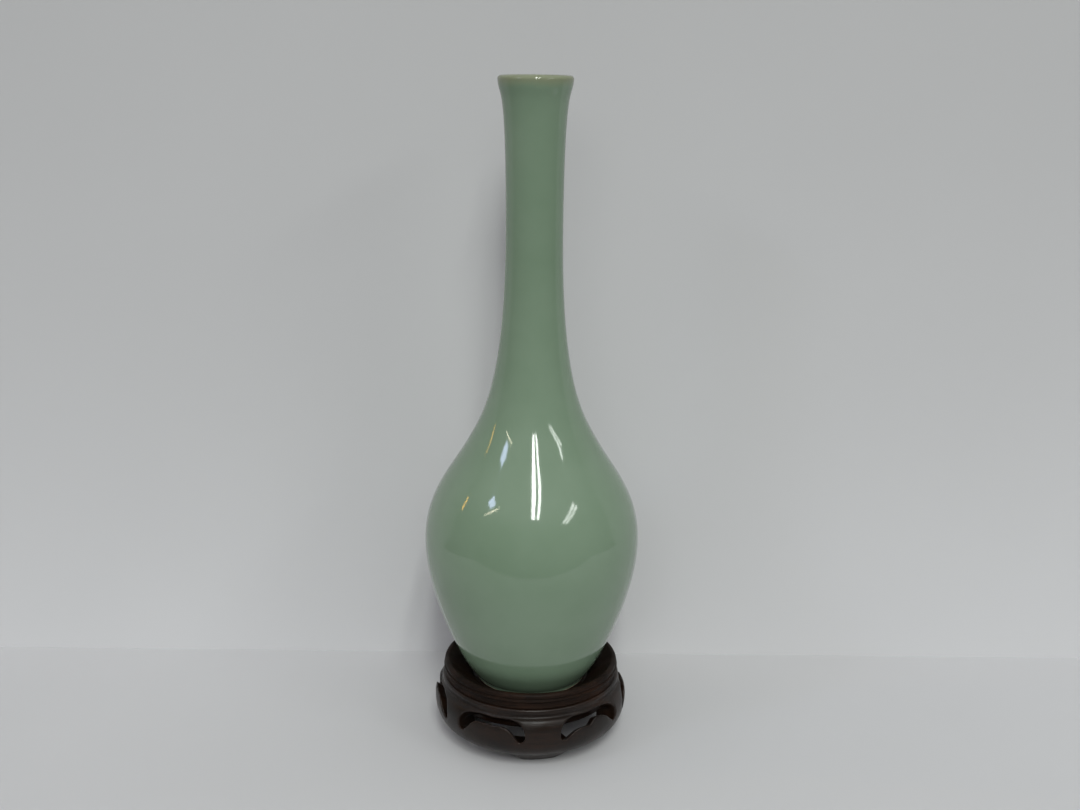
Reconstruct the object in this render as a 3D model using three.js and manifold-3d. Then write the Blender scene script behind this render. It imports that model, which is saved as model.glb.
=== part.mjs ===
import * as THREE from 'three';
import { mergeVertices } from 'three/addons/utils/BufferGeometryUtils.js';
import Module from 'manifold-3d';

// A tall porcelain bottle vase that stands in a carved hardwood stand.
// Millimetres, +Z up. The origin is on the table under the vase's axis, and -Y looks at one leg.

const wasm = await Module();
wasm.setup();

// Driving dimensions

// Pieces that touch keep this much air between them.
const seatGap = 0.3;

// The base: one turned and carved ring of wood with six legs.
const base = {
  legs: 6,
  wall: 3.8,
  bandClearance: 6.7,
  bandEdgeRadius: 38.9,
  bandWidth: 3.6,
  underHandle: 9.5,
  bulgeRise: 12.4,
  bulgeRadius: 44.6,
  bulgeHandle: 3.6,
  cornerRise: 6.5,
  cornerRadius: 42.4,
  coveRise: 1.3,
  coveRadius: 40.5,
  shoulderRise: 2,
  shoulderRadius: 41.1,
  rimRise: 0.9,
  rimRadius: 40,
};

// Every second leg ends in a low foot that is drawn in under the band.
const foot = {
  count: 3,
  contactRadius: 32.1,
  innerRadius: 27.5,
  halfWidth: 7,
  flare: 6,
  rootRise: 3,
  rootInset: 0.3,
  edgeBreak: 0.4,
};

// The cloud-shaped opening between two legs, measured along the curved wall.
const bay = {
  crownRise: 0.9,
  cuspDepth: 2.4,
  cuspHandle: 2.4,
  lobeOffset: 7,
  lobeHandle: 5.4,
  flankDrop: 7.9,
  flankHandle: 4.4,
  tipDrop: 11.1,
  dipDrop: 6.3,
};

// Its lower edge drops wide and slow beside a leg with a foot.
const footedSide = {
  halfWidth: 15.2,
  tipOffset: 12.6,
  tipHandle: 3,
  humpDrop: 5.9,
  humpOffset: 5,
  humpHandle: 2.6,
};

// Beside a plain leg the opening runs further and its lower edge drops late and steep.
const plainSide = {
  halfWidth: 16.8,
  tipOffset: 15.2,
  tipHandle: 0.8,
  humpDrop: 4.9,
  humpOffset: 6.5,
  humpHandle: 5,
};

// The top of the base: a deck with a rabbet for the seat panel and a socket for the collar.
const deck = {
  thickness: 2.4,
  lipThickness: 2,
  lipWidth: 3.3,
  lipOutside: 1,
  cornerRadius: 1.8,
};

// The loose disc that the vase's foot rests on.
const panel = {
  radius: 30,
  thickness: 2.5,
  sideGap: 0.3,
};

// The turned collar round the foot of the vase: a face, a thin listel and a round crest.
const collar = {
  seatRadius: 27,
  spigotRadius: 36.4,
  spigotDepth: 1.4,
  faceRadius: 40,
  faceHollow: 0.4,
  listelRadius: 0.45,
  listelRise: 3.4,
  crestRadius: 1.6,
  crestCentre: 38.5,
  crestRise: 5.1,
  crestFromDegrees: -40,
  crestToDegrees: 130,
  slopeFoot: 0.9,
  slopeHollow: 0.7,
};

// The vase's outline from the foot up, as rises and the curve handles between them.
const vase = {
  wall: 3,
  footHeight: 2.3,
  footRadius: 25.2,
  footWidth: 3.4,
  footRecess: 2.2,
  footEdge: 0.5,
  jointRadius: 25.98,
  jointLean: 1.039,
  jointHandle: 5.4,
  bellyRise: 64.6,
  bellyRadius: 48.4,
  bellyHandleBelow: 25.49,
  bellyHandleAbove: 21.91,
  turnRise: 47.31,
  turnRadius: 28.55,
  turnLean: 0.503,
  turnHandleBelow: 17.69,
  turnHandleAbove: 12.45,
  neckRise: 94.51,
  neckRadius: 12.39,
  neckHandleBelow: 68.86,
  neckHandleAbove: 62.37,
  lipRise: 61.28,
  lipRadius: 16,
  lipLean: 0.08,
  lipHandle: 8.94,
};

// How finely the round pieces are faceted.
const facets = { vase: 36, base: 48, collar: 48, panel: 48 };

// Levels and radii that follow from the sizes above

const bulgeLevel = base.bandClearance + base.bulgeRise;
const cornerLevel = bulgeLevel + base.cornerRise;
const coveLevel = cornerLevel + base.coveRise;
const shoulderLevel = coveLevel + base.shoulderRise;
const rimLevel = shoulderLevel + base.rimRise;
const socketRadius = collar.spigotRadius + seatGap;
const collarLevel = rimLevel + seatGap;
const spigotLevel = collarLevel - collar.spigotDepth - seatGap;
const panelTop = spigotLevel - seatGap;
const deckUnderside = panelTop - deck.thickness;
const panelBottom = panelTop - panel.thickness;
const rabbetRadius = panel.radius + panel.sideGap;
const rabbetLevel = panelBottom - seatGap;
const lipRadius = rabbetRadius - deck.lipWidth;
const vaseFootLevel = panelTop + seatGap;

// Solids

// A closed geometry becomes a solid once its seams are merged and its empty faces dropped.
function solidOf(geometry) {
  const bare = geometry.clone();
  bare.deleteAttribute('normal');
  bare.deleteAttribute('uv');
  const merged = mergeVertices(bare, 1e-4);
  const triangles = [];
  for (let i = 0; i < merged.index.count; i += 3) {
    const [a, b, c] = [0, 1, 2].map((k) => merged.index.getX(i + k));
    if (a !== b && b !== c && c !== a) triangles.push(a, b, c);
  }
  return new wasm.Manifold(new wasm.Mesh({
    numProp: 3,
    vertProperties: Float32Array.from(merged.attributes.position.array),
    triVerts: Uint32Array.from(triangles),
  }));
}

function geometryOf(solid) {
  const mesh = solid.getMesh();
  const geometry = new THREE.BufferGeometry();
  geometry.setAttribute('position', new THREE.Float32BufferAttribute(mesh.vertProperties, 3));
  geometry.setIndex(Array.from(mesh.triVerts));
  geometry.computeVertexNormals();
  return geometry;
}

// A profile of radius and height turns about the Z axis; it runs up the outside and down the inside.
function turned(profile, segments) {
  return new THREE.LatheGeometry(profile, segments).rotateX(Math.PI / 2);
}

// A flat outline, drawn along a curved wall, is cut inwards from far outside it.
function wrappedPrism(outline, drawnRadius, innerRadius, outerRadius, turn) {
  const geometry = new THREE.ExtrudeGeometry(new THREE.Shape(outline), {
    depth: outerRadius - innerRadius,
    bevelEnabled: false,
  });
  const position = geometry.attributes.position;
  for (let i = 0; i < position.count; i += 1) {
    const angle = position.getX(i) / drawnRadius + turn;
    const radius = innerRadius + position.getZ(i);
    position.setXYZ(i, radius * Math.sin(angle), -radius * Math.cos(angle), position.getY(i));
  }
  return geometry;
}

// Profiles

const point = (radius, height) => new THREE.Vector2(radius, height);

// A point one wall's thickness inside a curve that runs up the outside.
function insetPoint(curve, t, wall) {
  const tangent = curve.getTangent(t);
  const place = curve.getPoint(t);
  return point(place.x - wall * tangent.y, place.y + wall * tangent.x);
}

function samples(curve, steps) {
  return curve.getPoints(steps);
}

function insetSamples(curve, steps, wall) {
  const points = [];
  for (let i = steps; i >= 0; i -= 1) points.push(insetPoint(curve, i / steps, wall));
  return points;
}

// Points closer together than this are one point.
const weld = 0.01;

function joinedProfile(...runs) {
  const all = runs.flat();
  return all.filter((place, i) => i === 0 || place.distanceTo(all[i - 1]) > weld);
}

function arcPoints(centre, radius, fromDegrees, toDegrees, steps) {
  const arc = new THREE.EllipseCurve(
    centre.x, centre.y, radius, radius,
    THREE.MathUtils.degToRad(fromDegrees), THREE.MathUtils.degToRad(toDegrees),
    toDegrees < fromDegrees, 0,
  );
  return arc.getPoints(steps);
}

// The vase

function vaseGeometry() {
  const v = vase;
  const joint = point(v.jointRadius, vaseFootLevel + v.footHeight);
  const belly = point(v.bellyRadius, joint.y + v.bellyRise);
  const turn = point(v.turnRadius, belly.y + v.turnRise);
  const waist = point(v.neckRadius, turn.y + v.neckRise);
  const lip = point(v.lipRadius, waist.y + v.lipRise);

  // Leans are angles from upright, outwards where the wall opens and inwards over the shoulder.
  const jointWay = point(Math.sin(v.jointLean), Math.cos(v.jointLean));
  const turnWay = point(-Math.sin(v.turnLean), Math.cos(v.turnLean));
  const lipWay = point(Math.sin(v.lipLean), Math.cos(v.lipLean));

  const lowerBody = new THREE.CubicBezierCurve(
    joint,
    joint.clone().addScaledVector(jointWay, v.jointHandle),
    point(belly.x, belly.y - v.bellyHandleBelow),
    belly,
  );
  const shoulder = new THREE.CubicBezierCurve(
    belly,
    point(belly.x, belly.y + v.bellyHandleAbove),
    turn.clone().addScaledVector(turnWay, -v.turnHandleBelow),
    turn,
  );
  const lowerNeck = new THREE.CubicBezierCurve(
    turn,
    turn.clone().addScaledVector(turnWay, v.turnHandleAbove),
    point(waist.x, waist.y - v.neckHandleBelow),
    waist,
  );
  const upperNeck = new THREE.CubicBezierCurve(
    waist,
    point(waist.x, waist.y + v.neckHandleAbove),
    lip.clone().addScaledVector(lipWay, -v.lipHandle),
    lip,
  );

  const footBottom = vaseFootLevel;
  const footRing = [
    point(0, footBottom + v.footRecess),
    point(v.footRadius - v.footWidth - v.footEdge, footBottom + v.footRecess),
    point(v.footRadius - v.footWidth, footBottom + v.footRecess - v.footEdge),
    point(v.footRadius - v.footWidth + v.footEdge / 2, footBottom),
    point(v.footRadius - v.footEdge, footBottom),
    point(v.footRadius, footBottom + v.footEdge),
  ];
  const lipCentre = lip.clone().add(insetPoint(upperNeck, 1, v.wall)).divideScalar(2);
  const mouth = arcPoints(lipCentre, v.wall / 2, 0, 180, 5);
  const cavityFloor = insetPoint(lowerBody, 0, v.wall).y;

  return turned(joinedProfile(
    footRing,
    samples(lowerBody, 9),
    samples(shoulder, 9),
    samples(lowerNeck, 8),
    samples(upperNeck, 6),
    mouth,
    insetSamples(upperNeck, 5, v.wall),
    insetSamples(lowerNeck, 7, v.wall),
    insetSamples(shoulder, 7, v.wall),
    insetSamples(lowerBody, 7, v.wall),
    [point(0, cavityFloor)],
  ), facets.vase);
}

// The base

// The wall's outside under the bulge, from the band's lower edge up to the widest point.
function underCurve() {
  const edge = point(base.bandEdgeRadius, base.bandClearance);
  const bulge = point(base.bulgeRadius, bulgeLevel);
  return new THREE.QuadraticBezierCurve(edge, point(bulge.x, bulge.y - base.underHandle), bulge);
}

// Over the bulge the wall rolls in to a hard corner, then a cove and a rounded shoulder.
function upperOutside() {
  const bulge = point(base.bulgeRadius, bulgeLevel);
  const corner = point(base.cornerRadius, cornerLevel);
  const cove = point(base.coveRadius, coveLevel);
  const shoulder = point(base.shoulderRadius, shoulderLevel);
  const rim = point(base.rimRadius, rimLevel);
  const roll = new THREE.QuadraticBezierCurve(
    bulge, point(bulge.x, bulge.y + base.bulgeHandle), corner);
  const hollow = new THREE.QuadraticBezierCurve(corner, point(cove.x, corner.y), cove);
  const rise = new THREE.QuadraticBezierCurve(cove, point(shoulder.x, cove.y), shoulder);
  const round = new THREE.QuadraticBezierCurve(shoulder, point(shoulder.x, rim.y), rim);
  return [...samples(roll, 5), ...samples(hollow, 3), ...samples(rise, 3), ...samples(round, 3)];
}

function baseRing() {
  const under = underCurve();
  const wallInside = insetSamples(under, 5, base.wall);
  const bandInside = point(base.bandEdgeRadius - base.bandWidth, base.bandClearance);
  const corner = point(
    base.bulgeRadius - base.wall - deck.cornerRadius,
    deckUnderside - deck.cornerRadius,
  );
  const socket = [
    point(socketRadius, rimLevel),
    point(socketRadius, panelTop),
    point(rabbetRadius, panelTop),
    point(rabbetRadius, rabbetLevel),
    point(lipRadius, rabbetLevel),
    point(lipRadius, rabbetLevel - deck.lipThickness),
    point(rabbetRadius, rabbetLevel - deck.lipThickness),
    point(rabbetRadius + deck.lipOutside, deckUnderside),
  ];
  const profile = joinedProfile(
    [bandInside],
    samples(under, 6),
    upperOutside(),
    socket,
    arcPoints(corner, deck.cornerRadius, 90, 0, 2),
    wallInside,
    [bandInside],
  );
  return solidOf(turned(profile, facets.base));
}

// Half of a bay's outline, from the cusp between its lobes round to the dip in its lower edge.
function halfBay(side) {
  const crown = deckUnderside + bay.crownRise;
  const flank = crown - bay.flankDrop;
  const tip = crown - bay.tipDrop;
  const hump = crown - side.humpDrop;
  const half = new THREE.Path();
  half.moveTo(0, crown - bay.cuspDepth);
  half.quadraticCurveTo(bay.cuspHandle, crown, bay.lobeOffset, crown);
  half.bezierCurveTo(bay.lobeOffset + bay.lobeHandle, crown,
    side.halfWidth, flank + bay.flankHandle, side.halfWidth, flank);
  half.quadraticCurveTo(side.halfWidth, tip, side.tipOffset, tip);
  half.bezierCurveTo(side.tipOffset - side.tipHandle, tip,
    side.humpOffset + side.humpHandle, hump, side.humpOffset, hump);
  half.quadraticCurveTo(side.humpOffset / 2, hump, 0, crown - bay.dipDrop);
  return half.getPoints(5);
}

function bayOutline(rightSide, leftSide) {
  const right = halfBay(rightSide);
  const left = halfBay(leftSide).slice(1, -1).reverse().map((place) => point(-place.x, place.y));
  return [...right, ...left];
}

// A foot's outline along the wall has an ogee flank on each side and runs up into the band.
function footOutline() {
  const root = foot.halfWidth + foot.flare;
  const below = -base.bandClearance;
  const above = 2 * base.bandClearance;
  const right = new THREE.Path();
  right.moveTo(foot.halfWidth, below);
  right.lineTo(foot.halfWidth, 0);
  right.bezierCurveTo(foot.halfWidth + foot.flare / 2, 0,
    root - foot.flare / 2, base.bandClearance, root, base.bandClearance);
  right.lineTo(root, above);
  const half = right.getPoints(6);
  const mirrored = half.slice().reverse().map((place) => point(-place.x, place.y));
  return [...half, ...mirrored];
}

function footRing() {
  const top = base.bandClearance + foot.rootRise;
  const rootRadius = base.bandEdgeRadius - foot.rootInset;
  return solidOf(turned([
    point(foot.innerRadius, 0),
    point(foot.contactRadius - foot.edgeBreak, 0),
    point(foot.contactRadius, foot.edgeBreak),
    point(rootRadius, base.bandClearance),
    point(rootRadius, top),
    point(foot.innerRadius, top),
    point(foot.innerRadius, 0),
  ], facets.base));
}

function baseGeometry() {
  let solid = baseRing();
  const clear = base.bulgeRadius + 2 * base.wall;
  const bayDepth = base.bulgeRadius - 2 * base.wall;
  for (let leg = 0; leg < base.legs; leg += 1) {
    const turn = (leg + 0.5) * 2 * Math.PI / base.legs;
    const outline = leg % 2 === 0
      ? bayOutline(plainSide, footedSide)
      : bayOutline(footedSide, plainSide);
    const opening = wrappedPrism(outline, base.bulgeRadius, bayDepth, clear, turn);
    solid = solid.subtract(solidOf(opening));
  }
  const feet = footRing();
  for (let i = 0; i < foot.count; i += 1) {
    const turn = i * 2 * Math.PI / foot.count;
    const cutter = wrappedPrism(
      footOutline(), foot.contactRadius, foot.innerRadius / 2, clear, turn);
    solid = solid.add(feet.intersect(solidOf(cutter)));
  }
  return geometryOf(solid);
}

// The collar

function collarGeometry() {
  const c = collar;
  const listel = arcPoints(
    point(c.faceRadius, collarLevel + c.listelRise), c.listelRadius, -90, 90, 4);
  const crest = arcPoints(
    point(c.crestCentre, collarLevel + c.crestRise), c.crestRadius,
    c.crestFromDegrees, c.crestToDegrees, 7);
  const face = new THREE.QuadraticBezierCurve(
    point(c.faceRadius, collarLevel),
    point(c.faceRadius - 2 * c.faceHollow, collarLevel + c.listelRise / 2),
    listel[0],
  );
  const slopeTop = crest[crest.length - 1];
  const slopeFoot = point(c.seatRadius + c.slopeFoot, collarLevel);
  const slope = new THREE.QuadraticBezierCurve(
    slopeTop,
    point((slopeTop.x + slopeFoot.x) / 2, (slopeTop.y + slopeFoot.y) / 2 - c.slopeHollow),
    slopeFoot,
  );
  return turned(joinedProfile(
    [point(c.seatRadius, spigotLevel), point(c.spigotRadius, spigotLevel)],
    [point(c.spigotRadius, collarLevel)],
    samples(face, 3),
    listel,
    crest,
    samples(slope, 4),
    [point(c.seatRadius, collarLevel - c.slopeFoot), point(c.seatRadius, spigotLevel)],
  ), facets.collar);
}

function panelGeometry() {
  const disc = new THREE.CylinderGeometry(panel.radius, panel.radius, panel.thickness, facets.panel);
  return disc.rotateX(Math.PI / 2);
}

// The pieces

const glaze = new THREE.MeshStandardMaterial({ color: 0x8da08c, roughness: 0.12, metalness: 0 });
const stainedWood = { color: 0x2a1c16, roughness: 0.35, metalness: 0 };

function piece(name, geometry, material) {
  const mesh = new THREE.Mesh(geometry, material);
  mesh.name = name;
  return mesh;
}

const stand = new THREE.Group();
stand.name = 'stand';
stand.add(piece('carved_base', baseGeometry(), new THREE.MeshStandardMaterial(stainedWood)));
stand.add(piece('collar_ring', collarGeometry(), new THREE.MeshStandardMaterial(stainedWood)));
const seatPanel = piece('seat_panel', panelGeometry(), new THREE.MeshStandardMaterial(stainedWood));
seatPanel.position.z = panelTop - panel.thickness / 2;
stand.add(seatPanel);

const model = new THREE.Group();
model.name = 'bud_vase';
model.add(stand);
model.add(piece('vase', vaseGeometry(), glaze));

export default model;
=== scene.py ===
import math

import bpy
from mathutils import Matrix, Vector


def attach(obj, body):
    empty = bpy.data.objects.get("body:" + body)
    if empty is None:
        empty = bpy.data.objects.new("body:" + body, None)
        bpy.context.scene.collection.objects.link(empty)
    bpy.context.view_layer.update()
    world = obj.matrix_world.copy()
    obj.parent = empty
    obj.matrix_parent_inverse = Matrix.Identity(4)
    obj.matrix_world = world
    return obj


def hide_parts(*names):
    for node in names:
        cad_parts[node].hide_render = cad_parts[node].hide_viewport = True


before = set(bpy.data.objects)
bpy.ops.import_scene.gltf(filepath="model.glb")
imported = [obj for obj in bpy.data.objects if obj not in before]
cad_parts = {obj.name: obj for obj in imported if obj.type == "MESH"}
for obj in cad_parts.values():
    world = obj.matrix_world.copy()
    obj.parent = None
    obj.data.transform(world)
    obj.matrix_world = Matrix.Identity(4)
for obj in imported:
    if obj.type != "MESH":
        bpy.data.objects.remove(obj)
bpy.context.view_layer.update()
mm = 0.001


# Small tools

def clearSelection():
    if bpy.context.mode != "OBJECT":
        bpy.ops.object.mode_set(mode="OBJECT")
    bpy.ops.object.select_all(action="DESELECT")


def onlyThis(piece):
    clearSelection()
    piece.select_set(True)
    bpy.context.view_layer.objects.active = piece


def addModifier(piece, kind, **settings):
    onlyThis(piece)
    modifier = piece.modifiers.new(kind.title(), kind)
    for name, value in settings.items():
        setattr(modifier, name, value)
    bpy.ops.object.modifier_apply(modifier=modifier.name)


def settle(piece, name):
    onlyThis(piece)
    piece.name = piece.data.name = name
    bpy.ops.object.transform_apply(location=True, rotation=True, scale=True)


# A line of points is drawn by extruding one vertex from place to place.
def drawLine(points):
    clearSelection()
    bpy.ops.mesh.primitive_plane_add(size=mm, location=(0, 0, 0))
    piece = bpy.context.object
    bpy.ops.object.mode_set(mode="EDIT")
    bpy.ops.mesh.select_all(action="SELECT")
    bpy.ops.mesh.merge(type="CENTER")
    bpy.ops.transform.translate(value=points[0])
    for here, there in zip(points, points[1:]):
        step = [b - a for a, b in zip(here, there)]
        bpy.ops.mesh.extrude_vertices_move(TRANSFORM_OT_translate={"value": step})
    return piece


# A profile of (radius, height) in millimetres is spun into a closed turned body.
def spinProfile(name, profile, steps):
    piece = drawLine([(0, -r * mm, z * mm) for r, z in profile])
    bpy.ops.mesh.select_all(action="SELECT")
    bpy.ops.mesh.spin(steps=steps, angle=2 * math.pi, center=(0, 0, 0), axis=(0, 0, 1))
    bpy.ops.mesh.select_all(action="SELECT")
    bpy.ops.mesh.remove_doubles(threshold=0.002 * mm)
    bpy.ops.mesh.normals_make_consistent(inside=False)
    bpy.ops.object.mode_set(mode="OBJECT")
    settle(piece, name)
    return piece


# An outline of (way round, height) is drawn round a cylinder and pushed outwards from the axis.
# It may rise as it goes.
def pushOutline(name, outline, drawnRadius, innerRadius, outerRadius, turn, rise=0.0):
    lower = rise * (drawnRadius - innerRadius)

    def onCylinder(along, height):
        angle = along / drawnRadius + turn
        x, y = innerRadius * math.sin(angle), -innerRadius * math.cos(angle)
        return (x * mm, y * mm, (height - lower) * mm)

    piece = drawLine([onCylinder(*place) for place in outline])
    bpy.ops.mesh.select_all(action="SELECT")
    bpy.ops.mesh.edge_face_add()
    grow = outerRadius / innerRadius
    bpy.ops.mesh.extrude_region()
    bpy.ops.transform.resize(value=(grow, grow, 1), center_override=(0, 0, 0))
    bpy.ops.transform.translate(value=(0, 0, rise * (outerRadius - innerRadius) * mm))
    bpy.ops.mesh.select_all(action="SELECT")
    bpy.ops.mesh.quads_convert_to_tris()
    bpy.ops.mesh.normals_make_consistent(inside=False)
    bpy.ops.object.mode_set(mode="OBJECT")
    settle(piece, name)
    return piece


def joinPieces(pieces, name):
    onlyThis(pieces[0])
    for piece in pieces[1:]:
        piece.select_set(True)
    bpy.ops.object.join()
    pieces[0].name = pieces[0].data.name = name
    return pieces[0]


def useCutter(piece, cutter, way):
    addModifier(piece, "BOOLEAN", operation=way, solver="EXACT", object=cutter)
    bpy.data.objects.remove(cutter)


# Curves, as lists of (radius, height) in millimetres

def cubic(a, b, c, d, steps):
    points = []
    for i in range(steps + 1):
        t = i / steps
        u = 1 - t
        points.append(tuple(
            u ** 3 * p + 3 * u * u * t * q + 3 * u * t * t * r + t ** 3 * s
            for p, q, r, s in zip(a, b, c, d)))
    return points


def quadratic(a, b, c, steps):
    toFirst = tuple(p + (q - p) * 2 / 3 for p, q in zip(a, b))
    toLast = tuple(r + (q - r) * 2 / 3 for q, r in zip(b, c))
    return cubic(a, toFirst, toLast, c, steps)


def arc(centre, radius, fromDegrees, toDegrees, steps):
    points = []
    for i in range(steps + 1):
        angle = math.radians(fromDegrees + (toDegrees - fromDegrees) * i / steps)
        points.append((centre[0] + radius * math.cos(angle), centre[1] + radius * math.sin(angle)))
    return points


def chain(*runs):
    points = []
    for place in [place for run in runs for place in run]:
        if not points or math.dist(place, points[-1]) > 0.02:
            points.append(place)
    return points


# A curve's wall: the same points moved inwards by the wall's thickness, from the top down.
def insideOf(curve, wall):
    points = []
    for i, place in enumerate(curve):
        before, after = curve[max(i - 1, 0)], curve[min(i + 1, len(curve) - 1)]
        way = Vector((after[0] - before[0], after[1] - before[1])).normalized()
        points.append((place[0] - wall * way.y, place[1] + wall * way.x))
    return points[::-1]


# Materials

def colour(hexText):
    channels = [int(hexText[i:i + 2], 16) / 255 for i in (1, 3, 5)]
    return [c / 12.92 if c <= 0.04045 else ((c + 0.055) / 1.055) ** 2.4 for c in channels] + [1]


# A link goes to the socket of its name, or as i0, i1 and so on to the socket of that number.
def addNode(tree, kind, settings=None, **links):
    node = tree.nodes.new(kind)
    for name, value in (settings or {}).items():
        if name in node.inputs:
            node.inputs[name].default_value = value
        else:
            setattr(node, name, value)
    for name, source in links.items():
        socket = node.inputs[int(name[1:])] if name[1:].isdigit() else node.inputs[name]
        tree.links.new(source, socket)
    return node


def newMaterial(name):
    material = bpy.data.materials.new(name)
    material.use_nodes = True
    tree = material.node_tree
    tree.nodes.clear()
    shader = addNode(tree, "ShaderNodeBsdfPrincipled")
    addNode(tree, "ShaderNodeOutputMaterial", Surface=shader.outputs["BSDF"])
    place = addNode(tree, "ShaderNodeTexCoord").outputs["Object"]
    return material, tree, shader, place


def ramp(tree, source, stops):
    node = addNode(tree, "ShaderNodeValToRGB", Fac=source)
    elements = node.color_ramp.elements
    while len(elements) < len(stops):
        elements.new(0.5)
    for element, (position, hexText) in zip(elements, stops):
        element.position = position
        element.color = colour(hexText)
    return node.outputs["Color"]


def remap(tree, source, fromLow, fromHigh, toLow=0.0, toHigh=1.0):
    return addNode(tree, "ShaderNodeMapRange", {
        "From Min": fromLow, "From Max": fromHigh, "To Min": toLow, "To Max": toHigh,
    }, Value=source).outputs["Result"]


def mixColour(tree, amount, first, second):
    node = addNode(tree, "ShaderNodeMix", {"data_type": "RGBA"})
    for socket, source in ((node.inputs[0], amount), (node.inputs[6], first), (node.inputs[7], second)):
        if isinstance(source, list):
            socket.default_value = source
        else:
            tree.links.new(source, socket)
    return node.outputs[2]


def arithmetic(tree, operation, *terms):
    node = addNode(tree, "ShaderNodeMath", {"operation": operation})
    for socket, term in zip(node.inputs, terms):
        if isinstance(term, (int, float)):
            socket.default_value = term
        else:
            tree.links.new(term, socket)
    return node.outputs["Value"]


def noise(tree, place, sizeMm, detail=2.0, roughness=0.5):
    return addNode(tree, "ShaderNodeTexNoise", {
        "Scale": 1 / (sizeMm * mm), "Detail": detail, "Roughness": roughness,
    }, Vector=place).outputs["Fac"]


def stretched(tree, place, scale, turn):
    return addNode(tree, "ShaderNodeMapping", {
        "Scale": scale, "Rotation": turn,
    }, Vector=place).outputs["Vector"]


def axes(tree, place):
    return addNode(tree, "ShaderNodeSeparateXYZ", Vector=place).outputs


def bump(tree, source, heightMm, strength, under=None):
    node = addNode(tree, "ShaderNodeBump", {"Distance": heightMm * mm, "Strength": strength}, Height=source)
    if under is not None:
        tree.links.new(under, node.inputs["Normal"])
    return node.outputs["Normal"]


print("tools ready")


# Celadon glaze: an iron-bearing glassy glaze on white porcelain, fired glossy. It runs thin and
# pale at the lip, clouds a little over the body, and its skin waves just enough to move a reflection.
glazeLook = {
    "body": "#7b907a",
    "deep": "#758b74",
    "lip": "#838a6f",
    "lipFade": (295.2, 298.6),
    "lipDrift": 1.6,
    "driftSize": 6,
    "cloudSize": 34,
    "peelSize": 4.5,
    "peelHeight": 0.008,
    "waveSize": 22,
    "waveHeight": 0.05,
    "sheenSize": 12,
    "roughness": 0.07,
    "ior": 1.52,
    "bisque": "#b79f86",
    "bisqueFade": (28.95, 28.8),
    "bisqueRoughness": 0.7,
}


def makeGlaze():
    look = glazeLook
    material, tree, shader, place = newMaterial("celadonGlaze")
    height = axes(tree, place)["Z"]
    cloud = noise(tree, place, look["cloudSize"], 3.0, 0.55)
    body = ramp(tree, remap(tree, cloud, 0.35, 0.65), [(0.0, look["deep"]), (1.0, look["body"])])
    drift = noise(tree, place, look["driftSize"])
    uneven = arithmetic(tree, "MULTIPLY_ADD", drift, look["lipDrift"] * mm, height)
    fadeFrom, fadeTo = [(z + look["lipDrift"] / 2) * mm for z in look["lipFade"]]
    atLip = remap(tree, uneven, fadeFrom, fadeTo)
    withLip = mixColour(tree, atLip, body, colour(look["lip"]))
    # the ground foot rim is bare fired porcelain
    atFoot = remap(tree, height, look["bisqueFade"][0] * mm, look["bisqueFade"][1] * mm)
    full = mixColour(tree, atFoot, withLip, colour(look["bisque"]))
    tree.links.new(full, shader.inputs["Base Color"])
    sheen = noise(tree, place, look["sheenSize"])
    soft = remap(tree, sheen, 0.3, 0.7, look["roughness"] * 0.8, look["roughness"] * 1.3)
    bare = arithmetic(tree, "MULTIPLY", atFoot, look["bisqueRoughness"])
    dull = arithmetic(tree, "MAXIMUM", soft, bare)
    tree.links.new(dull, shader.inputs["Roughness"])
    wave = bump(tree, noise(tree, place, look["waveSize"], 1.0), look["waveHeight"], 0.25)
    peel = bump(tree, noise(tree, place, look["peelSize"]), look["peelHeight"], 0.5, wave)
    tree.links.new(peel, shader.inputs["Normal"])
    shader.inputs["IOR"].default_value = look["ior"]
    return material


# Rosewood-like hardwood, turned and carved, stained near black, rubbed with lacquer. Long grain runs
# across the stand, pores show as short dark lines, and raised edges are rubbed browner.
woodLook = {
    "dark": "#0c0704",
    "middle": "#1b110b",
    "light": "#2b1b12",
    "rubbed": "#36261b",
    "pore": "#0a0605",
    "grainWidth": 1.1,
    "bandWidth": 9,
    "poreWidth": 0.45,
    "wearSize": 3,
    "sheenSize": 7,
    "dentDepth": 0.03,
    "ior": 1.5,
}


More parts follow.
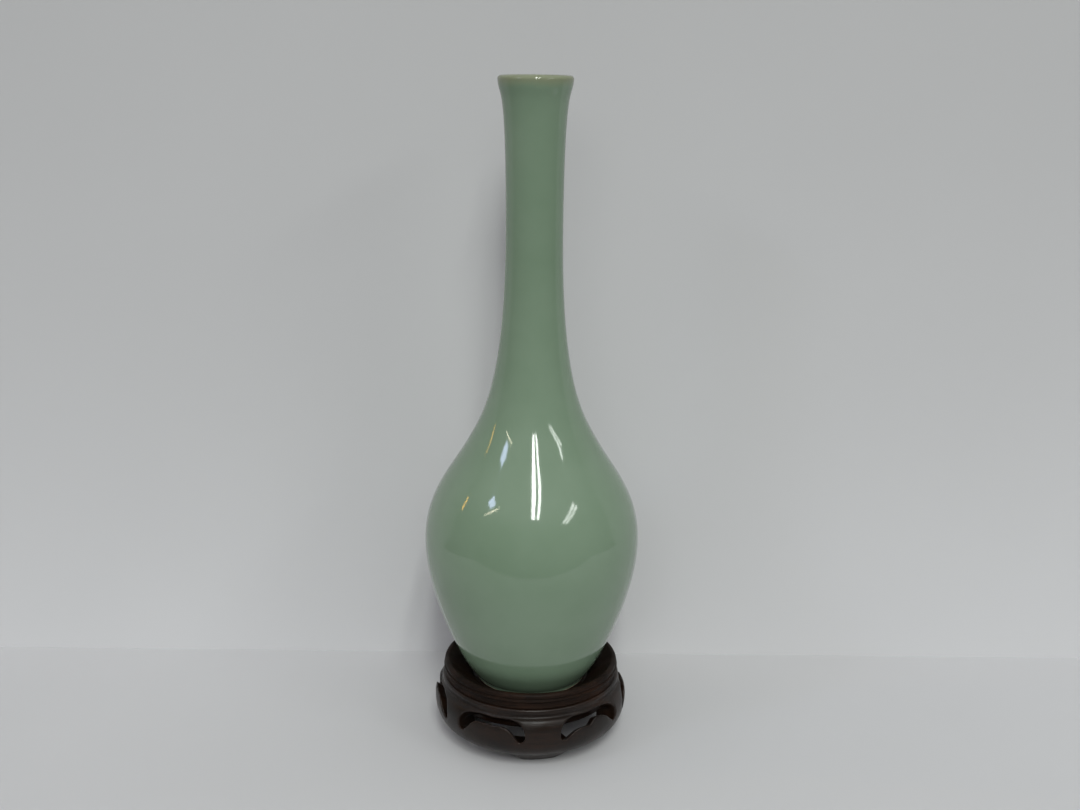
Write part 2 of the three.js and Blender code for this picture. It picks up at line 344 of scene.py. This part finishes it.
def makeWood(name, grainTurn, roughness, specular):
    look = woodLook
    material, tree, shader, place = newMaterial(name)
    turn = (0, 0, math.radians(grainTurn))
    along = stretched(tree, place, (0.07, 1, 1), turn)
    bands = noise(tree, stretched(tree, place, (0.16, 1, 1), turn), look["bandWidth"])
    grain = noise(tree, along, look["grainWidth"], 4.0, 0.6)
    pores = noise(tree, stretched(tree, place, (0.05, 1, 1), turn), look["poreWidth"], 2.0, 0.6)
    figure = arithmetic(tree, "MULTIPLY_ADD", grain, 0.55, remap(tree, bands, 0.25, 0.75, 0.0, 0.45))
    stained = ramp(tree, figure, [
        (0.25, look["dark"]), (0.5, look["middle"]), (0.78, look["light"])])
    poreLine = remap(tree, pores, 0.36, 0.46)
    withPores = mixColour(tree, remap(tree, poreLine, 0, 1, 0.6, 0.0), stained, colour(look["pore"]))
    edge = addNode(tree, "ShaderNodeNewGeometry").outputs["Pointiness"]
    patchy = remap(tree, noise(tree, place, look["wearSize"], 3.0), 0.4, 0.62, 0.0, 0.45)
    worn = arithmetic(tree, "MULTIPLY", remap(tree, edge, 0.52, 0.6), patchy)
    full = mixColour(tree, worn, withPores, colour(look["rubbed"]))
    tree.links.new(full, shader.inputs["Base Color"])
    sheen = noise(tree, place, look["sheenSize"], 3.0)
    lacquer = remap(tree, sheen, 0.3, 0.7, roughness * 0.85, roughness * 1.3)
    tree.links.new(lacquer, shader.inputs["Roughness"])
    poreDents = bump(tree, poreLine, look["dentDepth"], 0.5)
    grainDents = bump(tree, grain, look["dentDepth"], 0.4, poreDents)
    tree.links.new(grainDents, shader.inputs["Normal"])
    shader.inputs["IOR"].default_value = look["ior"]
    shader.inputs["Specular IOR Level"].default_value = specular
    return material


print("materials ready")


# The stand's carved base
baseShape = {
    "edge": (38.9, 6.7),
    "bandWidth": 3.6,
    "bulge": (44.6, 19.1),
    "underHandle": 9.5,
    "bulgeHandle": 3.6,
    "corner": (42.4, 25.6),
    "cove": (40.5, 26.9),
    "shoulder": (41.1, 28.9),
    "rim": (40.0, 29.8),
    "socketRadius": 36.7,
    "socketFloor": 28.1,
    "rabbetRadius": 30.3,
    "rabbetFloor": 25.3,
    "lipRadius": 27.0,
    "lipThickness": 2.0,
    "underside": 20.0,      # the deck is thick, so the upper part of each bay is a blind recess
    "deckStep": 1,
    "wall": 3.8,
    "fillet": 0.8,
    "legs": 6,
    "recess": 6.2,
    "clearRadius": 52,
    "steps": 240,
    "voxel": 0.56,
    "smoothings": 4,
}

# The heights are at the bulge's radius, and the carver's cut falls from there towards the inside.
bayShape = {
    "cutFall": 0.6,
    "crown": 26.9,
    "cuspDepth": 0.2,
    "cuspHandle": 2.4,
    "lobeOffset": 7,
    "flankDrop": 8.2,
    "flankHandle": 4,
    "tipDrop": 10.9,
    "dipDrop": 4,
    "deepDipDrop": 6.7,
}
footedSide = {
    "halfWidth": 15.2,
    "lobeHandle": 5.4,
    "tipOffset": 12.6,
    "tipHandle": 1.5,
    "humpDrop": 3.85,
    "humpOffset": 3.5,
    "humpHandle": 5.5,
}
# on one side of the front foot the carver cut this half bay deeper
deepSide = {
    "halfWidth": 15.2,
    "lobeHandle": 5.4,
    "tipOffset": 13.2,
    "tipHandle": 1,
    "humpDrop": 6.5,
    "humpOffset": 4.6,
    "humpHandle": 4,
}
plainSide = {
    "halfWidth": 18.6,
    "lobeHandle": 9,
    "tipOffset": 17,
    "tipHandle": 3,
    "humpDrop": 3.85,
    "humpOffset": 7.5,
    "humpHandle": 3.4,
}
besideDeep = dict(plainSide, humpOffset=4, humpHandle=6.9)

# behind the apron each leg stays nearly as thick as the block it was carved from
legBlock = {
    "innerRadius": 34.5,
    "outerRadius": 40.6,
    "bottom": 9.5,
    "top": 22.2,
    "keeperRadius": 20,
    "keeperTop": 40,
}

# every second leg ends in a foot with ogee flanks
footShape = {
    "count": 3,
    "contactRadius": 32.1,
    "innerRadius": 27.5,
    "halfWidth": 7,
    "flare": 6,
    "rootRise": 3,
    "edgeBreak": 0.5,
    "setBack": 0.2,
    "cutBelow": 4,
    "keeperRadius": 14,
    "steps": 96,
}


def halfBay(side, dipDrop):
    b, s = bayShape, side
    crown, flank = b["crown"], b["crown"] - b["flankDrop"]
    tip, hump = b["crown"] - b["tipDrop"], b["crown"] - s["humpDrop"]
    return chain(
        quadratic((0, crown - b["cuspDepth"]), (b["cuspHandle"], crown), (b["lobeOffset"], crown), 10),
        cubic((b["lobeOffset"], crown), (b["lobeOffset"] + s["lobeHandle"], crown),
              (s["halfWidth"], flank + b["flankHandle"]), (s["halfWidth"], flank), 12),
        quadratic((s["halfWidth"], flank), (s["halfWidth"], tip), (s["tipOffset"], tip), 10),
        cubic((s["tipOffset"], tip), (s["tipOffset"] - s["tipHandle"], tip),
              (s["humpOffset"] + s["humpHandle"], hump), (s["humpOffset"], hump), 12),
        quadratic((s["humpOffset"], hump), (s["humpOffset"] / 2, hump), (0, crown - dipDrop), 8),
    )


def bayOutline(rightSide, leftSide, dipDrop):
    left = [(-x, z) for x, z in halfBay(leftSide, dipDrop)[1:-1]]
    return halfBay(rightSide, dipDrop) + left[::-1]


def makeBase():
    b, f = baseShape, footShape
    bulge = b["bulge"]
    under = quadratic(b["edge"], (bulge[0], bulge[1] - b["underHandle"]), bulge, 16)
    roll = quadratic(bulge, (bulge[0], bulge[1] + b["bulgeHandle"]), b["corner"], 12)
    hollow = quadratic(b["corner"], (b["cove"][0], b["corner"][1]), b["cove"], 6)
    rise = quadratic(b["cove"], (b["shoulder"][0], b["cove"][1]), b["shoulder"], 6)
    rounded = quadratic(b["shoulder"], (b["shoulder"][0], b["rim"][1]), b["rim"], 6)
    bandInside = (b["edge"][0] - b["bandWidth"], b["edge"][1])
    lipUnder = b["rabbetFloor"] - b["lipThickness"]
    base = spinProfile("carvedBase", chain(
        [bandInside], under, roll, hollow, rise, rounded,
        [(b["socketRadius"], b["rim"][1]), (b["socketRadius"], b["socketFloor"]),
         (b["rabbetRadius"], b["socketFloor"]), (b["rabbetRadius"], b["rabbetFloor"]),
         (b["lipRadius"], b["rabbetFloor"]), (b["lipRadius"], lipUnder),
         (b["rabbetRadius"], lipUnder), (b["rabbetRadius"] + b["deckStep"], b["underside"])],
        arc((bulge[0] - b["wall"] - b["fillet"], b["underside"] - b["fillet"]), b["fillet"], 90, 0, 4),
        insideOf(under, b["wall"]),
        [bandInside],
    ), b["steps"])

    bays = []
    for leg in range(b["legs"]):
        if leg == 0:
            outline = bayOutline(besideDeep, deepSide, bayShape["deepDipDrop"])
        elif leg % 2:
            outline = bayOutline(footedSide, plainSide, bayShape["dipDrop"])
        else:
            outline = bayOutline(plainSide, footedSide, bayShape["dipDrop"])
        turn = (leg + 0.5) * 2 * math.pi / b["legs"]
        bays.append(pushOutline("bayCutter", outline, bulge[0], bulge[0] - b["recess"],
                                b["clearRadius"], turn, bayShape["cutFall"]))
    useCutter(base, joinPieces(bays, "bayCutters"), "DIFFERENCE")

    g = legBlock
    block = spinProfile("legBlocks", [
        (g["innerRadius"], g["bottom"]), (g["outerRadius"], g["bottom"]), (g["outerRadius"], g["top"]),
        (g["innerRadius"], g["top"]), (g["innerRadius"], g["bottom"])], b["steps"])
    legs = []
    for leg in range(b["legs"]):
        side = plainSide if leg % 2 else footedSide
        half = bulge[0] * math.pi / b["legs"] - side["halfWidth"]
        outline = [(-half, 0), (half, 0), (half, g["keeperTop"]), (-half, g["keeperTop"])]
        legs.append(pushOutline("legKeeper", outline, bulge[0], g["keeperRadius"],
                                b["clearRadius"], leg * 2 * math.pi / b["legs"]))
    useCutter(block, joinPieces(legs, "legKeepers"), "INTERSECT")
    useCutter(base, block, "UNION")

    top = b["edge"][1] + f["rootRise"]
    back = b["edge"][0] - f["setBack"]
    root = f["halfWidth"] + f["flare"]
    flank = cubic((f["halfWidth"], 0), (f["halfWidth"] + f["flare"] / 2, 0),
                  (root - f["flare"] / 2, b["edge"][1]), (root, b["edge"][1]), 14)
    footOutline = [(f["halfWidth"], -f["cutBelow"])] + flank + [(root, 2 * b["edge"][1])]
    footOutline = footOutline + [(-x, z) for x, z in footOutline[::-1]]
    for foot in range(f["count"]):
        ring = spinProfile("footRing", [
            (f["innerRadius"], 0), (f["contactRadius"] - f["edgeBreak"], 0),
            (f["contactRadius"], f["edgeBreak"]), (back, b["edge"][1]),
            (back, top), (f["innerRadius"], top), (f["innerRadius"], 0)], f["steps"])
        keep = pushOutline("footKeeper", footOutline, f["contactRadius"], f["keeperRadius"],
                           b["clearRadius"], foot * 2 * math.pi / f["count"])
        useCutter(ring, keep, "INTERSECT")
        useCutter(base, ring, "UNION")

    # the carver's knife and rubbing soften every edge
    addModifier(base, "REMESH", mode="VOXEL", voxel_size=b["voxel"] * mm, adaptivity=0)
    addModifier(base, "SMOOTH", factor=0.5, iterations=b["smoothings"])
    onlyThis(base)
    bpy.ops.object.shade_smooth()
    base.data.materials.clear()
    base.data.materials.append(makeWood("carvedRosewood", 4, 0.33, 0.3))
    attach(base, "stand")
    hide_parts("carved_base")
    print("carved base", len(base.data.polygons), "faces")


# The turned collar: a face, a thin listel and a round crest over a hollow slope to the seat.
collarShape = {
    "seatRadius": 27.0,
    "spigotRadius": 36.4,
    "bottom": 28.4,
    "level": 30.1,
    "faceRadius": 40.0,
    "faceHollow": 0.4,
    "listelRadius": 0.45,
    "listelRise": 3.4,
    "crestRadius": 1.6,
    "crestCentre": (38.5, 35.2),
    "crestSweep": (-40, 130),
    "slopeFoot": 0.9,
    "slopeHollow": 0.7,
    "edgeBreak": 0.15,
    "sharpAngle": 35,
    "steps": 192,
}


def makeCollar():
    c = collarShape
    listel = arc((c["faceRadius"], c["level"] + c["listelRise"]), c["listelRadius"], -90, 90, 10)
    crest = arc(c["crestCentre"], c["crestRadius"], *c["crestSweep"], 22)
    faceMiddle = (c["faceRadius"] - 2 * c["faceHollow"], c["level"] + c["listelRise"] / 2)
    face = quadratic((c["faceRadius"], c["level"]), faceMiddle, listel[0], 8)
    slopeFoot = (c["seatRadius"] + c["slopeFoot"], c["level"])
    slopeMiddle = ((crest[-1][0] + slopeFoot[0]) / 2, (crest[-1][1] + slopeFoot[1]) / 2 - c["slopeHollow"])
    slope = quadratic(crest[-1], slopeMiddle, slopeFoot, 12)
    collar = spinProfile("collarRing", chain(
        [(c["seatRadius"], c["bottom"]), (c["spigotRadius"], c["bottom"]), (c["spigotRadius"], c["level"])],
        face, listel, crest, slope,
        [(c["seatRadius"], c["level"] - c["slopeFoot"]), (c["seatRadius"], c["bottom"])],
    ), c["steps"])
    sharp = math.radians(c["sharpAngle"])
    addModifier(collar, "BEVEL", width=c["edgeBreak"] * mm, segments=2,
                limit_method="ANGLE", angle_limit=sharp)
    onlyThis(collar)
    bpy.ops.object.shade_smooth_by_angle(angle=sharp)
    collar.data.materials.append(makeWood("turnedRosewood", 62, 0.5, 0.11))
    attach(collar, "stand")
    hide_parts("collar_ring")
    print("collar", len(collar.data.polygons), "faces")


# The loose seat panel, a thin disc with a chamfered rim
panelShape = {"radius": 30, "bottom": 25.6, "top": 28.1, "chamfer": 0.5, "steps": 144, "sharpAngle": 30}


def makePanel():
    p = panelShape
    clearSelection()
    bpy.ops.mesh.primitive_cylinder_add(
        vertices=p["steps"], radius=p["radius"] * mm, depth=(p["top"] - p["bottom"]) * mm,
        location=(0, 0, (p["top"] + p["bottom"]) / 2 * mm))
    panel = bpy.context.object
    bpy.ops.object.mode_set(mode="EDIT")
    bpy.ops.mesh.select_all(action="SELECT")
    bpy.ops.mesh.bevel(offset=p["chamfer"] * mm, segments=2, affect="EDGES")
    bpy.ops.object.mode_set(mode="OBJECT")
    settle(panel, "seatPanel")
    bpy.ops.object.shade_smooth_by_angle(angle=math.radians(p["sharpAngle"]))
    panel.data.materials.append(makeWood("panelRosewood", 28, 0.46, 0.2))
    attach(panel, "stand")
    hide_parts("seat_panel")
    print("seat panel", len(panel.data.polygons), "faces")


# The vase, as one thrown wall from the foot ring up and down again inside
vaseShape = {
    "wall": 3,
    "footBottom": 28.4,
    "footRadius": 25.2,
    "footWidth": 3.4,
    "footRecess": 2.2,
    "footEdge": 0.5,
    "footTaper": (0.1, 0.7),
    "recessRound": 0.8,
    "innerBreak": (0.15, 0.25),
    "innerSetBack": 0.6,
    "innerEdge": 0.4,
    "joint": (25.98, 30.7),
    "jointLean": 1.039,
    "jointHandle": 5.4,
    "belly": (48.4, 95.3),
    "bellyHandles": (25.49, 21.91),
    "turn": (28.55, 142.61),
    "turnLean": 0.503,
    "turnHandles": (17.69, 12.45),
    "waist": (12.39, 237.12),
    "waistHandles": (68.86, 62.37),
    "lip": (16.0, 298.29),
    "lipLean": 0.08,
    "lipHandle": 8.94,
    "mouthSweep": (6, 174),
    "floorDip": (0.1, 0.15),
    "steps": 192,
}


def makeVase():
    v = vaseShape
    joint, belly, turn, waist, lip = v["joint"], v["belly"], v["turn"], v["waist"], v["lip"]

    def along(place, lean, distance):
        return (place[0] + math.sin(lean) * distance, place[1] + math.cos(lean) * distance)

    lowerBody = cubic(joint, along(joint, v["jointLean"], v["jointHandle"]),
                      (belly[0], belly[1] - v["bellyHandles"][0]), belly, 34)
    shoulder = cubic(belly, (belly[0], belly[1] + v["bellyHandles"][1]),
                     along(turn, -v["turnLean"], -v["turnHandles"][0]), turn, 28)
    lowerNeck = cubic(turn, along(turn, -v["turnLean"], v["turnHandles"][1]),
                      (waist[0], waist[1] - v["waistHandles"][0]), waist, 30)
    upperNeck = cubic(waist, (waist[0], waist[1] + v["waistHandles"][1]),
                      along(lip, v["lipLean"], -v["lipHandle"]), lip, 24)
    outside = chain(lowerBody, shoulder, lowerNeck, upperNeck)
    inside = insideOf(outside, v["wall"])
    mouthCentre = ((lip[0] + inside[0][0]) / 2, (lip[1] + inside[0][1]) / 2)
    floor = inside[-1]
    bottom, edge, innerEdge, roundness = v["footBottom"], v["footEdge"], v["innerEdge"], v["recessRound"]
    footInside = v["footRadius"] - v["footWidth"]
    recess = bottom + v["footRecess"]
    vase = spinProfile("celadonVase", chain(
        [(0, recess), (footInside / 2, recess), (footInside - roundness, recess)],
        arc((footInside - roundness, recess - roundness), roundness, 90, 0, 4),
        [(footInside + v["innerBreak"][0], bottom + v["innerBreak"][1])],
        arc((footInside + v["innerSetBack"], bottom + innerEdge), innerEdge, 180, 270, 3),
        arc((v["footRadius"] - edge, bottom + edge), edge, -90, 0, 4),
        [(v["footRadius"] + v["footTaper"][0], joint[1] - v["footTaper"][1])],
        outside,
        arc(mouthCentre, v["wall"] / 2, *v["mouthSweep"], 14),
        inside,
        [(floor[0] * 0.6, floor[1] - v["floorDip"][0]), (0, floor[1] - v["floorDip"][1])],
    ), v["steps"])
    onlyThis(vase)
    bpy.ops.object.shade_smooth()
    vase.data.materials.append(makeGlaze())
    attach(vase, "vase")
    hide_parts("vase")
    print("vase", len(vase.data.polygons), "faces")


makeBase()
makeCollar()
makePanel()
makeVase()


# Stage: a pale table top with a pale backdrop close behind, and more pale floor that only the camera sees
stageLook = {
    "photoTurn": 8.0,
    "wallDistance": 76,
    "tableLeft": 427,
    "tableRight": 599,
    "tableFront": 272,
    "tableDepth": 1500,
    "floorDrop": 0.4,
    "floorSize": 5000,
    "wallSize": 3000,
    "floor": "#c9c9cb",
    # the backdrop is painted lighter at its foot than at its head: painted light standing in for bounce
    # light from the floor
    "wallFootPaintedLight": "#d5d5d7",
    "wallHeadPaintedShade": "#c4c4c5",
    "paintedLightFadeHeight": 420,
    "patchSize": 180,
    "roughness": 0.8,
}


def inPhoto(x, y, z):
    turn = math.radians(-stageLook["photoTurn"])
    return (x * math.cos(turn) - y * math.sin(turn), x * math.sin(turn) + y * math.cos(turn), z)


def mattPaint(name, lower, upper, oneSided=False):
    material, tree, shader, place = newMaterial(name)
    # on the backdrop this colour fade by height is painted light, lighter at the foot and darker at the
    # head; the table gets one even colour
    height = remap(tree, axes(tree, place)["Z"], 0, stageLook["paintedLightFadeHeight"] * mm)
    paint = mixColour(tree, height, colour(lower), colour(upper))
    patches = remap(tree, noise(tree, place, stageLook["patchSize"]), 0.3, 0.7, 0.97, 1.0)
    mottled = addNode(tree, "ShaderNodeVectorMath", {"operation": "SCALE"}, i0=paint, Scale=patches)
    tree.links.new(mottled.outputs[0], shader.inputs["Base Color"])
    shader.inputs["Roughness"].default_value = stageLook["roughness"]
    if oneSided:
        back = addNode(tree, "ShaderNodeNewGeometry").outputs["Backfacing"]
        clear = addNode(tree, "ShaderNodeBsdfTransparent").outputs["BSDF"]
        mix = addNode(tree, "ShaderNodeMixShader", Fac=back, i1=shader.outputs["BSDF"], i2=clear)
        tree.links.new(mix.outputs["Shader"], tree.nodes["Material Output"].inputs["Surface"])
    return material


def makeStage():
    s = stageLook
    turn = math.radians(-s["photoTurn"])
    clearSelection()
    middle = inPhoto((s["tableRight"] - s["tableLeft"]) / 2, s["tableDepth"] / 2 - s["tableFront"], 0)
    bpy.ops.mesh.primitive_plane_add(size=1, location=[c * mm for c in middle], rotation=(0, 0, turn))
    table = bpy.context.object
    table.scale = ((s["tableRight"] + s["tableLeft"]) * mm, s["tableDepth"] * mm, 1)
    settle(table, "tableTop")
    table.data.materials.append(mattPaint("paleTable", s["floor"], s["floor"]))
    clearSelection()
    bpy.ops.mesh.primitive_plane_add(size=s["floorSize"] * mm, location=(0, 0, -s["floorDrop"] * mm))
    floor = bpy.context.object
    settle(floor, "wideFloor")
    floor.data.materials.append(table.data.materials[0])
    floor.visible_glossy = floor.visible_diffuse = False
    clearSelection()
    away = inPhoto(0, s["wallDistance"], s["wallSize"] / 2)
    bpy.ops.mesh.primitive_plane_add(
        size=s["wallSize"] * mm, location=[c * mm for c in away], rotation=(math.pi / 2, 0, turn))
    wall = bpy.context.object
    settle(wall, "backdrop")
    # the backdrop's colour carries a painted light fade, lighter at the foot and darker at the head
    wall.data.materials.append(mattPaint("paleWallPaintedLight", s["wallFootPaintedLight"], s["wallHeadPaintedShade"], True))


makeStage()
print("stage ready")


# Lights: a pale ceiling over a dim room, two ceiling fittings of twin tubes, a high window with its
# sill, an amber lamp and a soft fill from the front
roomLight = {"low": 0.14, "high": 0.6, "risesFrom": 0.38, "risesTo": 0.64, "behind": 0.5, "tint": "#fdfdff"}
ceilingHeight = 2130
tubes = [
    {"x": 105, "width": 195, "from": -3050, "to": -1400, "radiance": 32},
    {"x": 425, "width": 125, "from": -3050, "to": -1400, "radiance": 32},
    {"x": 2480, "width": 170, "from": -3200, "to": -1480, "radiance": 14},
    {"x": 2770, "width": 170, "from": -3200, "to": -1480, "radiance": 14},
]
tubeTint = "#fbfffa"
lamps = {
    "window": {
        "centre": (-2380, -1600, ceilingHeight), "size": (480, 400), "radiance": 13, "tint": "#cfdcff"},
    "windowSill": {
        "centre": (-2700, -2030, ceilingHeight), "size": (1450, 60), "radiance": 22, "tint": "#fff4d8"},
    "frontFill": {
        "centre": (-100, -1500, 880), "size": (800, 500), "radiance": 2.4, "tint": "#ffffff",
        "target": (0, 0, 40)},
    "amberLamp": {
        "centre": (-2800, 50, 1200), "size": (70, 380), "radiance": 18, "tint": "#f0b43c",
        "target": (0, 0, 130)},
}


def makeWorld():
    r = roomLight
    world = bpy.data.worlds.new("room")
    bpy.context.scene.world = world
    world.use_nodes = True
    tree = world.node_tree
    tree.nodes.clear()
    upward = axes(tree, addNode(tree, "ShaderNodeTexCoord").outputs["Generated"])["Z"]
    level = remap(tree, upward, r["risesFrom"], r["risesTo"], r["low"], r["high"])
    isCamera = addNode(tree, "ShaderNodeLightPath").outputs["Is Camera Ray"]
    amount = addNode(tree, "ShaderNodeMix", {"data_type": "FLOAT"}, i0=isCamera, i2=level)
    amount.inputs[3].default_value = r["behind"]
    tint = colour(r["tint"])
    background = addNode(tree, "ShaderNodeBackground", {"Color": tint}, Strength=amount.outputs[0])
    addNode(tree, "ShaderNodeOutputWorld", Surface=background.outputs["Background"])


def areaLight(name, centre, size, radiance, tint, target=None):
    data = bpy.data.lights.new(name, "AREA")
    data.shape = "RECTANGLE"
    data.size, data.size_y = size[0] * mm, size[1] * mm
    data.energy = radiance * math.pi * data.size * data.size_y
    data.color = colour(tint)[:3]
    light = bpy.data.objects.new(name, data)
    bpy.context.scene.collection.objects.link(light)
    light.location = Vector(inPhoto(*centre)) * mm
    light.rotation_euler = (0, 0, math.radians(-stageLook["photoTurn"]))
    if target:
        way = Vector(inPhoto(*target)) * mm - light.location
        light.rotation_euler = way.to_track_quat("-Z", "Y").to_euler()


makeWorld()
for number, tube in enumerate(tubes):
    length = tube["to"] - tube["from"]
    areaLight("tube%d" % number, (tube["x"], (tube["from"] + tube["to"]) / 2, ceilingHeight),
              (tube["width"], length), tube["radiance"], tubeTint)
for name, lamp in lamps.items():
    areaLight(name, **lamp)
bpy.data.objects["frontFill"].visible_glossy = False
print("lights ready")


# Camera, solved from the turned rings of the stand
cameraPlace = {
    "x": 3.17,
    "away": 547.15,
    "height": 308.1,
    "pitch": 15.34,
    "roll": 0.6,
    "focalPixels": 1277.53,
    "widthPixels": 1080,
    "sensorWidth": 36,
    "clipStart": 10,
}


def makeCamera():
    c = cameraPlace
    pitch, roll = math.radians(c["pitch"]), math.radians(c["roll"])
    forward = Vector((0, math.cos(pitch), -math.sin(pitch)))
    right, up = Vector((1, 0, 0)), Vector((0, math.sin(pitch), math.cos(pitch)))
    imageRight = right * math.cos(roll) + up * math.sin(roll)
    imageUp = up * math.cos(roll) - right * math.sin(roll)
    turned = Matrix.Rotation(math.radians(-stageLook["photoTurn"]), 4, "Z")
    columns = Matrix((imageRight, imageUp, -forward)).transposed().to_4x4()
    columns.translation = Vector((c["x"], -c["away"], c["height"])) * mm
    data = bpy.data.cameras.new("photoCamera")
    data.sensor_width = c["sensorWidth"]
    data.lens = c["sensorWidth"] * c["focalPixels"] / c["widthPixels"]
    data.clip_start = c["clipStart"] * mm
    camera = bpy.data.objects.new("photoCamera", data)
    bpy.context.scene.collection.objects.link(camera)
    camera.matrix_world = turned @ columns
    bpy.context.scene.camera = camera


makeCamera()
bpy.context.scene.view_settings.view_transform = "Standard"
print("camera ready")
